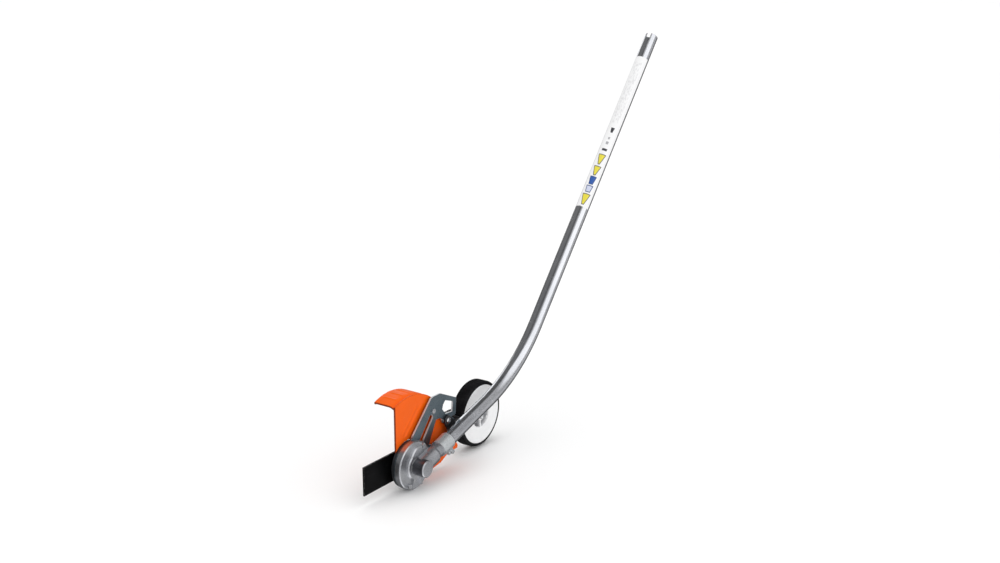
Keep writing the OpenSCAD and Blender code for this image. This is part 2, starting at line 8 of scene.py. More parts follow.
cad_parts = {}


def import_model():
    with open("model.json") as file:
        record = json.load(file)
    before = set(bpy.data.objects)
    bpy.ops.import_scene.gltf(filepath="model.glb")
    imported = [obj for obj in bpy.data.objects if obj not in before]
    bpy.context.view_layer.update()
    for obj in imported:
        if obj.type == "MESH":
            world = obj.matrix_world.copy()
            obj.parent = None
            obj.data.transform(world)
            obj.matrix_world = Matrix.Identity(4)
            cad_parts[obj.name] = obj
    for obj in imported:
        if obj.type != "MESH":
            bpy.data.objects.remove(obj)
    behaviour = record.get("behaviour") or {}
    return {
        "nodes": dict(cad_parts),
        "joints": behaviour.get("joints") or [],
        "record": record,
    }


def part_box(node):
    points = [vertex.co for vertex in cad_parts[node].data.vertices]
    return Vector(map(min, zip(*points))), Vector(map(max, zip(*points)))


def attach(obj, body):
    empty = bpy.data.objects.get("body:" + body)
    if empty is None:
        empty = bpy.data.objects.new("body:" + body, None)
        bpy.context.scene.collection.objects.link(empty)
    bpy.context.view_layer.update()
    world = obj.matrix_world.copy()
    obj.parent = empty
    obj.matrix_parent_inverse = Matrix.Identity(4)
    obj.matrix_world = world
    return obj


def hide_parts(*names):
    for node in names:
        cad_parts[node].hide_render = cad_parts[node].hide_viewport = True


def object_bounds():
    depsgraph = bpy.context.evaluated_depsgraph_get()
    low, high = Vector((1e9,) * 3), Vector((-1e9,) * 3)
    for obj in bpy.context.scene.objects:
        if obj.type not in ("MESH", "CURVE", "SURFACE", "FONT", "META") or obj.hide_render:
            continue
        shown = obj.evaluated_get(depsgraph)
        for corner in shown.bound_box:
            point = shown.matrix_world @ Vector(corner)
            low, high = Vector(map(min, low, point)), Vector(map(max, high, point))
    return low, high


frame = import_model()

cad_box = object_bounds()
scene = bpy.context.scene
nodes = frame["nodes"]
joints = {j["name"]: j for j in frame["joints"]}
MM = 0.001

# ---------- where things are, read from the frame ----------


def corners(node):
    """The low and the high corner of a CAD node's box."""
    low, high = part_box(node)
    return Vector(low), Vector(high)


mounts = {m["name"]: m for m in frame["record"]["mounts"]}
SPINDLE = Vector(joints["blade_spin"]["pos_m"])
WHEEL = Vector(joints["wheel_spin"]["pos_m"])
# The tube's two straights, from the bend to the open end and from the gear head to the bend
UP_AXIS = Vector(mounts["drive_tube"]["axis"]).normalized()
LOW_AXIS = Vector(joints["pinion_spin"]["axis"]).normalized()
UP_TILT = math.atan2(UP_AXIS.z, -UP_AXIS.x)
LOW_TILT = math.atan2(LOW_AXIS.z, -LOW_AXIS.x)
# Start of the clamp sleeve along the lower tube axis, from the spindle's axis
SLEEVE_FROM = 53 * MM

# ---------- node helpers ----------

SIDEWAYS = Vector((0, 1, 0))
UPWARDS = Vector((0, 0, 1))
FORWARD_AND_DOWN = Vector((0.94, 0, -0.34))


class Graph:
    """Builds one material's nodes. A value is a number, or a socket that another node feeds."""

    def __init__(self, name, **plain):
        self.mat = bpy.data.materials.new(name)
        self.mat.use_nodes = True
        self.tree = self.mat.node_tree
        self.shader = self.tree.nodes["Principled BSDF"]
        self.place = self.tree.nodes.new("ShaderNodeTexCoord").outputs["Object"]
        for socket, value in plain.items():
            self.shader.inputs[socket.replace("_", " ")].default_value = value

    def node(self, kind, **settings):
        n = self.tree.nodes.new(kind)
        for key, value in settings.items():
            setattr(n, key, value)
        return n

    def link(self, a, b):
        self.tree.links.new(a, b)

    def feed(self, socket, value):
        if hasattr(value, "is_output"):
            self.link(value, socket)
        else:
            socket.default_value = value

    def math(self, op, a, b=0.0, c=0.0, clamp=False):
        n = self.node("ShaderNodeMath", operation=op, use_clamp=clamp)
        for socket, value in zip(n.inputs, (a, b, c)):
            self.feed(socket, value)
        return n.outputs[0]

    def dot(self, vector, other=None):
        """The place, or other if given, measured along vector."""
        n = self.node("ShaderNodeVectorMath", operation="DOT_PRODUCT")
        self.feed(n.inputs[0], other if other is not None else self.place)
        n.inputs[1].default_value = vector
        return n.outputs["Value"]

    def split(self):
        """The place as separate X, Y and Z outputs."""
        n = self.node("ShaderNodeSeparateXYZ")
        self.link(self.place, n.inputs[0])
        return n.outputs

    def distance(self, point, flatten=None):
        """How far the place is from point, with each axis first scaled by flatten."""
        place = self.place
        if flatten is not None:
            level = self.node("ShaderNodeVectorMath", operation="MULTIPLY")
            self.link(place, level.inputs[0])
            level.inputs[1].default_value = flatten
            place = level.outputs[0]
        n = self.node("ShaderNodeVectorMath", operation="DISTANCE")
        self.link(place, n.inputs[0])
        n.inputs[1].default_value = point
        return n.outputs["Value"]

    def flank(self):
        """1 on walls that run along Y, such as rims and bosses, and 0 on faces across Y."""
        flat = self.node("ShaderNodeNewGeometry").outputs["Normal"]
        return self.remap(self.math("ABSOLUTE", self.dot(SIDEWAYS, flat)), 0.6, 0.3)

    def noise(self, scale, detail=3.0, rough=0.5, stretch=None):
        n = self.node("ShaderNodeTexNoise")
        n.inputs["Scale"].default_value = scale
        n.inputs["Detail"].default_value = detail
        n.inputs["Roughness"].default_value = rough
        self.link(self.place if stretch is None else stretch, n.inputs["Vector"])
        return n.outputs["Fac"]

    def stretched(self, scale, rotation=(0, 0, 0)):
        n = self.node("ShaderNodeMapping")
        self.link(self.place, n.inputs["Vector"])
        n.inputs["Scale"].default_value = scale
        n.inputs["Rotation"].default_value = rotation
        return n.outputs["Vector"]

    def remap(self, value, low, high, to_low=0.0, to_high=1.0, smooth=False):
        n = self.node("ShaderNodeMapRange")
        if smooth:
            n.interpolation_type = "SMOOTHSTEP"
        n.inputs["From Min"].default_value = low
        n.inputs["From Max"].default_value = high
        n.inputs["To Min"].default_value = to_low
        n.inputs["To Max"].default_value = to_high
        self.link(value, n.inputs["Value"])
        return n.outputs["Result"]

    def mix(self, factor, a, b):
        n = self.node("ShaderNodeMix", data_type="RGBA")
        self.feed(n.inputs["Factor"], factor)
        for socket, value in ((n.inputs["A"], a), (n.inputs["B"], b)):
            self.feed(socket, value)
        return n.outputs["Result"]

    def band(self, value, low, high, soft):
        """1 where value is between low and high, with soft ends."""
        rise = self.remap(value, low - soft, low + soft)
        fall = self.remap(value, high - soft, high + soft)
        return self.math("SUBTRACT", rise, fall, clamp=True)

    def rounded_normal(self, radius, samples=4):
        """The normal as if every edge were rounded to radius."""
        n = self.node("ShaderNodeBevel", samples=samples)
        n.inputs["Radius"].default_value = radius
        return n.outputs["Normal"]

    def edges(self, radius, low=0.02, high=0.25):
        """1 on edges that stand out or lie in, 0 on flat faces."""
        flat = self.node("ShaderNodeNewGeometry").outputs["Normal"]
        n = self.node("ShaderNodeVectorMath", operation="DOT_PRODUCT")
        self.link(self.rounded_normal(radius), n.inputs[0])
        self.link(flat, n.inputs[1])
        return self.remap(self.math("SUBTRACT", 1.0, n.outputs["Value"]), low, high)

    def rubbed(self, radius, most=1.0):
        """Edges where the finish is rubbed through in broken stretches, up to most."""
        broken = self.remap(self.noise(260.0), 0.36, 0.54, 0.0, most)
        return self.math("MULTIPLY", self.edges(radius), broken)

    def forward_rims(self, radius):
        """0.9 on rims that face forwards or forwards and down, less close beside them."""
        facing = self.dot(FORWARD_AND_DOWN, self.rounded_normal(radius, 8))
        return self.remap(facing, 0.22, 0.5, 0.0, 0.9)

    def finish(self, color, rough, height=None, strength=0.2, depth=0.0002, soft=None):
        """Feeds the shader, with height as relief depth metres deep and edges rounded to soft."""
        self.feed(self.shader.inputs["Base Color"], color)
        self.feed(self.shader.inputs["Roughness"], rough)
        normal = self.rounded_normal(soft) if soft else None
        if height is not None:
            bump = self.node("ShaderNodeBump")
            bump.inputs["Strength"].default_value = strength
            bump.inputs["Distance"].default_value = depth
            self.link(height, bump.inputs["Height"])
            if normal is not None:
                self.link(normal, bump.inputs["Normal"])
            normal = bump.outputs["Normal"]
        if normal is not None:
            self.link(normal, self.shader.inputs["Normal"])
        return self.mat


def rgb(r, g, b):
    return (r, g, b, 1.0)


def shade(c, k):
    """The colour c made k times as bright."""
    return rgb(*(min(1.0, x * k) for x in c[:3]))


ROUGH_SPREAD = 0.12


def common(name, color, rough, metal=0.0, grain=900.0, grain_strength=0.15, patch=25.0,
           patch_amount=0.12, soft=0.0005, worn=None, **plain):
    """A finish with fine grain, slow patches of tone and, where worn is given, edges rubbed to it."""
    g = Graph(name, Metallic=metal, **plain)
    fine = g.noise(grain, 4.0, 0.6)
    slow = g.noise(patch, 2.0, 0.5)
    tone = g.mix(g.remap(slow, 0.35, 0.65), shade(color, 1 - patch_amount), shade(color, 1 + patch_amount))
    roughness = g.remap(fine, 0.3, 0.7, rough - ROUGH_SPREAD, rough + ROUGH_SPREAD)
    if worn is not None:
        tone = g.mix(g.rubbed(0.0007), tone, worn)
    return g.finish(tone, roughness, fine, grain_strength, 0.0002, soft)


# ---------- materials ----------

ORANGE = rgb(0.90, 0.122, 0.004)
STEEL = rgb(0.52, 0.53, 0.55)
ZINC = rgb(0.70, 0.71, 0.73)


def drawn_tube():
    """Drawn aluminium: fine lines along the tube, which turn with its bend."""
    g = Graph("drawn_aluminium", Metallic=1.0)
    up, low = [g.noise(1.0, 5.0, 0.6, g.stretched((9.0, 1500.0, 1500.0), (0, tilt, 0)))
               for tilt in (UP_TILT, LOW_TILT)]
    mixed = g.node("ShaderNodeMix")
    # The bend lies between these two X
    g.link(g.remap(g.split()["X"], 0.38, 0.62), mixed.inputs["Factor"])
    g.link(up, mixed.inputs["A"])
    g.link(low, mixed.inputs["B"])
    fine = mixed.outputs["Result"]
    slow = g.noise(14.0, 3.0)
    tone = g.mix(g.remap(slow, 0.3, 0.7), rgb(0.72, 0.735, 0.78), rgb(0.85, 0.86, 0.90))
    smudge = g.remap(g.noise(60.0, 5.0, 0.7), 0.45, 0.7, 0.0, 0.09)
    rough = g.math("ADD", g.remap(fine, 0.3, 0.7, 0.13, 0.24), smudge)
    return g.finish(tone, rough, fine, 0.12, 0.00006, 0.0004)


MATERIALS = {
    "drive_tube": drawn_tube(),
    "zinc": common("zinc_plated", ZINC, 0.22, 1.0, grain=1500, grain_strength=0.12,
                   patch=90, worn=rgb(0.9, 0.9, 0.92), soft=0.0004),
    "steel": common("ground_steel", STEEL, 0.3, 1.0, grain=1800, grain_strength=0.15, patch=70,
                    soft=0.0004),
    "dark_steel": common("black_oxide", rgb(0.07, 0.07, 0.075), 0.42, 0.6, grain=1600, patch=80,
                         worn=rgb(0.3, 0.3, 0.31), soft=0.0003),
    "cover": common("dark_paint", rgb(0.022, 0.024, 0.028), 0.38, 0.1, grain=1200, grain_strength=0.2,
                    patch=60, worn=rgb(0.25, 0.26, 0.27), soft=0.0008),
    "arm": common("powder_coat", rgb(0.009, 0.009, 0.011), 0.45, 0.0, grain=1500, grain_strength=0.35,
                  patch=50, worn=rgb(0.1, 0.1, 0.11), soft=0.0007, Specular_IOR_Level=0.3),
    "rubber": common("rubber", rgb(0.012, 0.012, 0.013), 0.62, 0.0, grain=1300, grain_strength=0.3,
                     patch=35, patch_amount=0.3, soft=0.0004),
    "dark_plastic": common("dark_plastic", rgb(0.03, 0.03, 0.032), 0.5, 0.0, grain=1400, patch=60,
                           soft=0.0003),
    "bronze": common("sintered_bronze", rgb(0.5, 0.36, 0.18), 0.4, 1.0, grain=2000, patch=80,
                     soft=0.0003),
}

THREAD_PITCH = 1.25 * MM


def threaded(name, color, centre, y_end):
    """Metal with a screw thread about the line along Y through centre, where Y is less than y_end."""
    g = Graph(name, Metallic=1.0)
    x, y, z = g.split()
    side = g.math("SUBTRACT", x, centre.x)
    up = g.math("SUBTRACT", z, centre.z)
    turn = g.math("MULTIPLY", g.math("ARCTAN2", up, side), 0.5 / math.pi)
    along = g.math("MULTIPLY", y, 1 / THREAD_PITCH)
    wave = g.math("PINGPONG", g.math("ADD", turn, along), 0.5)
    on = g.math("LESS_THAN", y, y_end)
    height = g.math("MULTIPLY", wave, on)
    fine = g.noise(1500.0, 4.0)
    # The thread's roots are painted darker, as shade
    tone = g.mix(g.math("MULTIPLY", g.remap(wave, 0.3, 0.0), on), color, shade(color, 0.45))
    rough = g.remap(fine, 0.3, 0.7, 0.2, 0.36)
    return g.finish(tone, rough, height, 0.9, 0.0009, 0.0004)


def cast_finish():
    """Cast aluminium: fine sand grain, painted shade on the boss's barrel, a bright machined clamp sleeve.
    """
    g = Graph("cast_aluminium")
    fine = g.noise(1100.0, 4.0, 0.6)
    slow = g.noise(40.0, 2.0)
    tone = g.mix(g.remap(slow, 0.35, 0.65), rgb(0.47, 0.48, 0.51), rgb(0.58, 0.59, 0.62))
    away = g.distance((SPINDLE.x, 0, SPINDLE.z), (1, 0, 1))
    # The boss's barrel is painted near black, as shade
    boss = g.math("MULTIPLY", g.remap(away, 16.0 * MM, 15.2 * MM), g.flank())
    tone = g.mix(g.math("MULTIPLY", boss, 0.85), tone, rgb(0.05, 0.05, 0.06))
    along = g.math("SUBTRACT", g.dot(LOW_AXIS), SPINDLE.dot(LOW_AXIS))
    sleeve = g.remap(along, SLEEVE_FROM - 0.3 * MM, SLEEVE_FROM + 0.3 * MM)
    tone = g.mix(sleeve, tone, rgb(0.74, 0.77, 0.79))
    rubbed = g.rubbed(0.0011)
    tone = g.mix(rubbed, tone, rgb(0.88, 0.89, 0.9))
    metal = g.math("SUBTRACT", 0.92, g.math("MULTIPLY", rubbed, 0.7))
    metal = g.math("SUBTRACT", metal, g.math("MULTIPLY", sleeve, 0.16), clamp=True)
    g.feed(g.shader.inputs["Metallic"], metal)
    rough = g.remap(fine, 0.3, 0.7, 0.18, 0.4)
    return g.finish(tone, rough, fine, 0.3, 0.0002, 0.0009)


def plate_finish():
    """Pressed plate: mottled zinc on its faces, and uncoated steel on its sheared edges, painted bright as a
    highlight.
    """
    g = Graph("zinc_plate")
    fine = g.noise(700.0, 4.0, 0.6)
    slow = g.noise(30.0, 3.0)
    face = g.mix(g.remap(slow, 0.35, 0.65), rgb(0.15, 0.195, 0.225), rgb(0.205, 0.255, 0.29))
    # Near the gear head the sheared edges stay dull, as painted shade from the casting
    clear_of_head = g.remap(g.distance(SPINDLE), 50 * MM, 56 * MM)
    sheared = g.math("MULTIPLY", g.flank(), clear_of_head)
    highlight_and_wear = g.math("MAXIMUM", sheared, g.rubbed(0.0012, 0.8))
    # Sheared edges away from the head are painted bright as a highlight; rubbed edges show real worn steel
    tone = g.mix(highlight_and_wear, face, rgb(0.66, 0.69, 0.71))
    g.feed(g.shader.inputs["Metallic"], g.remap(highlight_and_wear, 0.0, 1.0, 0.95, 0.35))
    rough = g.remap(fine, 0.3, 0.7, 0.24, 0.42)
    return g.finish(tone, rough, fine, 0.16, 0.0002, 0.0006)


def blade_finish():
    """Black paint, rubbed through along the edges, with a few light scuffs."""
    g = Graph("blade_paint", Metallic=0.0, Specular_IOR_Level=0.08)
    fine = g.noise(900.0, 4.0)
    scuff = g.noise(1.0, 4.0, 0.7, g.stretched((35.0, 300.0, 260.0), (0, 0.2, 0)))
    marks = g.remap(scuff, 0.66, 0.74)
    worn = g.math("MULTIPLY", g.edges(0.0008), g.remap(g.noise(220.0), 0.4, 0.6))
    dirt = g.mix(g.remap(g.noise(30.0), 0.4, 0.7), rgb(0.0018, 0.0018, 0.002), rgb(0.004, 0.004, 0.0045))
    tone = g.mix(g.math("MULTIPLY", marks, 0.4), dirt, rgb(0.05, 0.05, 0.052))
    tone = g.mix(worn, tone, rgb(0.3, 0.3, 0.31))
    rough = g.remap(fine, 0.3, 0.7, 0.34, 0.5)
    return g.finish(tone, rough, fine, 0.2, 0.0001, 0.0006)


def guard_finish():
    """Moulded plastic: fine grain, faint dust, and painted shade along edges and on rims that face forwards.
    """
    g = Graph("guard_plastic", Metallic=0.0, Specular_IOR_Level=0.15)
    fine = g.noise(1600.0, 3.0, 0.7)
    slow = g.noise(18.0, 3.0)
    tone = g.mix(g.remap(slow, 0.3, 0.7), shade(ORANGE, 0.93), shade(ORANGE, 1.07))
    dust = g.remap(g.noise(140.0, 5.0, 0.7), 0.62, 0.8, 0.0, 0.16)
    tone = g.mix(dust, tone, rgb(0.9, 0.42, 0.2))
    # Edges painted dark brown in broken stretches, as shade
    painted_edge_shade = g.math("MULTIPLY", g.edges(0.003, 0.01, 0.14), g.remap(g.noise(90.0), 0.3, 0.6, 0.45, 0.85))
    tone = g.mix(painted_edge_shade, tone, rgb(0.34, 0.035, 0.006))
    # Rims that face forwards painted near black, as shade
    tone = g.mix(g.forward_rims(0.0045), tone, rgb(0.10, 0.016, 0.006))
    rough = g.remap(g.noise(80.0, 4.0), 0.3, 0.7, 0.34, 0.48)
    return g.finish(tone, rough, fine, 0.14, 0.0001)


def disc_finish():
    """White moulded plastic with faint flow marks, and painted shade in the pockets round the hub."""
    g = Graph("disc_plastic", Metallic=0.0)
    fine = g.noise(900.0, 4.0, 0.6)
    flow = g.noise(55.0, 6.0, 0.75)
    tone = g.mix(g.remap(flow, 0.45, 0.7), rgb(0.95, 0.955, 0.96), rgb(0.89, 0.895, 0.91))
    away = g.distance((WHEEL.x, 0, WHEEL.z), (1, 0, 1))
    face = corners("tyre")[1].y
    sunk = g.remap(g.split()["Y"], face - 2 * MM, face - 7 * MM)
    # The sunk pockets round the hub are painted grey, as shade
    pocket_shade = g.math("MULTIPLY", g.remap(away, 25 * MM, 23.5 * MM), sunk)
    tone = g.mix(g.math("MULTIPLY", pocket_shade, 0.75), tone, rgb(0.3, 0.305, 0.33))
    rough = g.remap(flow, 0.3, 0.7, 0.32, 0.5)
    return g.finish(tone, rough, fine, 0.15, 0.0001, 0.0005)


def tyre_finish():
    """Rubber with a dull bloom in patches."""
    g = Graph("tyre_rubber", Metallic=0.0, Specular_IOR_Level=0.12)
    fine = g.noise(1300.0, 4.0, 0.6)
    bloom = g.remap(g.noise(45.0, 5.0, 0.7), 0.4, 0.75)
    tone = g.mix(bloom, rgb(0.005, 0.005, 0.006), rgb(0.014, 0.014, 0.016))
    rough = g.remap(bloom, 0.0, 1.0, 0.46, 0.7)
    return g.finish(tone, rough, fine, 0.3, 0.00015)


# The middle of the print, as a turn about the tube from the line that faces the camera
LABEL_TURN = -0.24
YELLOW = rgb(0.80, 0.70, 0.06)
BLUE = rgb(0.03, 0.11, 0.42)
INK = rgb(0.05, 0.05, 0.06)
PALE = rgb(0.62, 0.66, 0.82)
GREY = rgb(0.42, 0.42, 0.44)
# Each patch's rim, if it has one
RIMS = {YELLOW: shade(INK, 1.6), BLUE: shade(BLUE, 0.5), PALE: shade(BLUE, 0.5)}
# Patches: start and end in mm down the tube, half width in radians, colour, and the end's share of the width
PATCHES = [
    (219.0, 230.0, 0.30, INK, 0.5),
    (240.0, 245.0, 0.16, GREY, 0.8),
    (250.0, 256.0, 0.22, GREY, 0.8),
    (265.5, 270.5, 0.42, INK, 0.9),
    (278.0, 301.0, 0.62, YELLOW, 0.25),
    (304.0, 325.0, 0.6, YELLOW, 0.3),
    (327.0, 345.0, 0.54, BLUE, 0.6),
    (347.0, 362.0, 0.54, PALE, 0.7),
    (365.0, 389.0, 0.66, YELLOW, 0.3),
]
RIM_WIDE = 0.11
RIM_LONG = 1.7


def lay_patch(g, tone, along, turn, start, end, width, color, end_share):
    """Lays one tapered patch of plain colour over tone."""
    length = g.band(along, start, end, 0.6)
    reach = g.math("MULTIPLY", g.remap(along, start, end, 1.0, end_share), width)
    off = g.math("ABSOLUTE", turn)
    body = g.math("MULTIPLY", g.math("LESS_THAN", off, reach), length)
    if color not in RIMS:
        return g.mix(body, tone, color)
    tone = g.mix(body, tone, RIMS[color])
    inner_reach = g.math("SUBTRACT", reach, RIM_WIDE)
    inner_length = g.band(along, start + RIM_LONG, end - RIM_LONG, 0.5)
    return g.mix(g.math("MULTIPLY", g.math("LESS_THAN", off, inner_reach), inner_length), tone, color)


def label_finish():
    """White satin print with plain coloured patches and rows of faint grey grain."""
    g = Graph("label_print", Metallic=0.0, Coat_Weight=0.15, Coat_Roughness=0.2)
    along = g.math("MULTIPLY", g.dot(UP_AXIS), -1 / MM)
    side = g.math("ARCTAN2", g.dot(SIDEWAYS), g.dot(TUBE_OUT))
    turn = g.math("SUBTRACT", side, SIGHT_TURN + LABEL_TURN)
    # A grey line down one side, then the rows
    line = g.math("MULTIPLY", g.band(turn, -1.2, -1.0, 0.02), 0.55)
    tone = g.mix(line, rgb(0.9, 0.9, 0.905), GREY)
    rows = g.noise(1.0, 2.0, 0.5, g.stretched((160.0, 520.0, 160.0), (0, UP_TILT, 0)))
    rows = g.math("MULTIPLY", g.remap(rows, 0.5, 0.56), g.band(along, 68.0, 208.0, 2.0))
    faint = g.math("MULTIPLY", rows, g.math("MULTIPLY", g.band(turn, -0.75, 0.45, 0.03), 0.3))
    tone = g.mix(faint, tone, GREY)
    for place in PATCHES:
        tone = lay_patch(g, tone, along, turn, *place)
    fine = g.noise(1200.0)
    rough = g.remap(g.noise(50.0, 3.0), 0.3, 0.7, 0.3, 0.42)
    return g.finish(tone, rough, fine, 0.06, 0.00008)


# ---------- camera, as fitted to the photo ----------

CAMERA_AT = Vector((2.52276, 1.3779, 0.32806))
CAMERA_YAW = math.radians(34.62)
CAMERA_DOWN = math.radians(16.23)
LENS = 51.69
SENSOR_WIDTH = 36.0

# Level directions from the camera's side of the object, and to the right in the picture
BEHIND_CAMERA = Vector((math.cos(CAMERA_YAW), math.sin(CAMERA_YAW), 0))
RIGHT = Vector((-math.sin(CAMERA_YAW), math.cos(CAMERA_YAW), 0))
SIGHT = -BEHIND_CAMERA * math.cos(CAMERA_DOWN) - UPWARDS * math.sin(CAMERA_DOWN)

camera = bpy.data.objects.new("camera", bpy.data.cameras.new("camera"))
scene.collection.objects.link(camera)
camera.data.lens = LENS
camera.data.sensor_width = SENSOR_WIDTH
camera.location = CAMERA_AT
camera.rotation_euler = SIGHT.to_track_quat("-Z", "Y").to_euler()
scene.camera = camera

# Out from the tube on its upper front side, and the turn from there towards +Y that faces the camera
TUBE_OUT = Vector((UP_AXIS.z, 0, -UP_AXIS.x))
SIGHT_TURN = math.atan2(-SIGHT.y, -SIGHT.dot(TUBE_OUT))

# ---------- floor and lights ----------


def floor():
    """Pale paper just below the part's lowest point."""
    z = cad_box[0][2] - 0.2 * MM
    mesh = bpy.data.meshes.new("floor")
    half = 9.0
    mesh.from_pydata([(x * half, y * half, z) for x, y in ((-1, -1), (1, -1), (1, 1), (-1, 1))],
                     [], [(0, 1, 2, 3)])
    obj = bpy.data.objects.new("floor", mesh)
    scene.collection.objects.link(obj)
    g = Graph("floor_paper", Metallic=0.0)
    slow = g.noise(3.0, 2.0)
    tone = g.mix(slow, rgb(0.97, 0.97, 0.97), rgb(0.985, 0.985, 0.985))
    mesh.materials.append(g.finish(tone, g.remap(g.noise(40.0), 0.3, 0.7, 0.85, 0.95)))
    obj.visible_glossy = False


def key_light():
    """A wide overhead light, as from a large softbox, and even all over the floor."""
    data = bpy.data.lights.new("key", "SUN")
    data.energy = 0.5
    data.angle = math.radians(50)
    come_from = UPWARDS + 0.15 * RIGHT - 0.35 * BEHIND_CAMERA
    obj = bpy.data.objects.new("key", data)
    scene.collection.objects.link(obj)
    obj.rotation_euler = (-come_from).to_track_quat("-Z", "Y").to_euler()
    obj.visible_glossy = False


class Sky(Graph):
    """The same helpers for the world, where the place is the direction looked in."""

    def __init__(self, data):
        data.use_nodes = True
        self.tree = data.node_tree
        self.place = self.node("ShaderNodeTexCoord").outputs["Generated"]


# Light on dull surfaces, then what gloss mirrors: the studio's dark, and a card behind the object
DIFFUSE_SKY = 0.90
DARK_CARD = 0.09
BACK_CARD = 1.2
BACK_AT = Vector((-0.62, -0.71, 0.33))
# Bright cards round the studio: middle and half width in degrees to the right, softness, brightness
CARDS = [(-95, 40, 25, 0.08), (14, 14, 12, 0.4), (54, 29, 6, 1.15), (104, 14, 8, 0.36)]


def world():
    """White to the eye, even light on dull surfaces, and cards for gloss to mirror."""
    data = bpy.data.worlds.new("studio")
    scene.world = data
    g = Sky(data)
    turn = g.math("ARCTAN2", g.dot(RIGHT), g.dot(BEHIND_CAMERA))
    level = DARK_CARD
    for centre, half, soft, bright in CARDS:
        off = g.math("ABSOLUTE", g.math("SUBTRACT", turn, math.radians(centre)))
        low, high = math.radians(half - soft), math.radians(half + soft)
        level = g.math("ADD", g.remap(off, low, high, bright, 0.0, smooth=True), level)
    level = g.math("MULTIPLY", level, g.remap(g.dot(UPWARDS), -0.6, 0.6, 1.15, 0.9))
    back = g.remap(g.dot(BACK_AT), 0.93, 0.97, 0.0, BACK_CARD, smooth=True)
    level = g.math("ADD", level, back)
    path = g.node("ShaderNodeLightPath").outputs
    even = g.remap(g.dot(BEHIND_CAMERA + 0.3 * RIGHT), -0.6, 1.0, DIFFUSE_SKY - 0.1, DIFFUSE_SKY + 0.25)
    glossy = g.math("MULTIPLY", path["Is Glossy Ray"], g.math("SUBTRACT", level, even))
    unseen = g.math("ADD", glossy, even)
    eye = path["Is Camera Ray"]
    strength = g.math("ADD", g.math("MULTIPLY", unseen, g.math("SUBTRACT", 1.0, eye)), eye)
    sky = g.tree.nodes["Background"].inputs
    g.link(strength, sky["Strength"])
    sky["Color"].default_value = rgb(1, 1, 1)


floor()
world()
key_light()
scene.view_settings.view_transform = "Standard"

# ---------- mesh helpers ----------


def new_object(name, mesh, material, body, hides):
    """A smooth piece in one material, which rides on body and stands in for the node it hides."""
    obj = bpy.data.objects.new(name, mesh)
    scene.collection.objects.link(obj)
    mesh.materials.clear()
    mesh.materials.append(material)
    for poly in mesh.polygons:
        poly.use_smooth = True
    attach(obj, body)
    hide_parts(hides)
    return obj


def keep_corners(obj):
    """Keeps sharp corners sharp between smooth faces."""
    obj.data.set_sharp_from_angle(angle=math.radians(40))


def mesh_from(name, bm):
    """A mesh made from bm, which is freed."""
    mesh = bpy.data.meshes.new(name)
    bm.to_mesh(mesh)
    bm.free()
    return mesh


def filleted(points, radii, steps):
    """A closed outline with each corner rounded to its own radius, or as far as its sides allow."""
    out = []
    for i, (corner, radius) in enumerate(zip(points, radii)):
        p = Vector(corner)
        a = Vector(points[i - 1]) - p
        b = Vector(points[(i + 1) % len(points)]) - p
        half = a.angle(b) / 2
        reach = min(radius / math.tan(half), a.length * 0.49, b.length * 0.49)
        r = reach * math.tan(half)
        start = p + a.normalized() * reach
        end = p + b.normalized() * reach
        centre = p + (a.normalized() + b.normalized()).normalized() * (r / math.sin(half))
        for k in range(steps + 1):
            spoke = (start - centre).lerp(end - centre, k / steps)
            out.append(centre + spoke.normalized() * r)
    return out


def revolved(outline, centre, steps, shift=None):
    """A closed (radius, y) outline in mm, turned about the line along Y through centre.

    shift(step, radius, y) gives what to add to a point's radius."""
    bm = bmesh.new()
    rings = []
    for i in range(steps):
        a = 2 * math.pi * i / steps
        ring = []
        for r, y in outline:
            if shift is not None:
                r = r + shift(i, r, y)
            spot = (centre.x + r * MM * math.cos(a), centre.y + y * MM, centre.z + r * MM * math.sin(a))
            ring.append(bm.verts.new(spot))
        rings.append(ring)
    n = len(outline)
    for i in range(steps):
        a, b = rings[i], rings[(i + 1) % steps]
        for j in range(n):
            k = (j + 1) % n
            bm.faces.new((a[j], b[j], b[k], a[k]))
    bmesh.ops.recalc_face_normals(bm, faces=bm.faces)
    return bm


def remeshed(name, bm, voxel, smooth_steps):
    """One soft-edged skin round the solids in bm."""
    obj = bpy.data.objects.new(name + "_work", mesh_from(name, bm))
    scene.collection.objects.link(obj)
    skin = obj.modifiers.new("skin", "REMESH")
    skin.mode = "VOXEL"
    skin.voxel_size = voxel
    skin.adaptivity = 0.0
    soft = obj.modifiers.new("soft", "SMOOTH")
    soft.factor = 0.5
    soft.iterations = smooth_steps
    graph = bpy.context.evaluated_depsgraph_get()
    graph.update()
    mesh = bpy.data.meshes.new_from_object(obj.evaluated_get(graph))
    bpy.data.objects.remove(obj)
    return mesh


def box_solid(bm, place, size):
    """Adds a box of the given size to bm, its middle moved by place."""
    made = bmesh.ops.create_cube(bm, size=1.0)["verts"]
    for v in made:
        v.co = place @ Vector(c * s for c, s in zip(v.co, size))


# ---------- guard ----------


def guard_face():
    """Where the guard's flat side faces +Y: the plane most of its upright near faces share."""
    area = {}
    for poly in nodes["guard"].data.polygons:
        if poly.normal.y > 0.99:
            level = round(poly.center.y, 4)
            area[level] = area.get(level, 0.0) + poly.area
    return max(area, key=area.get)


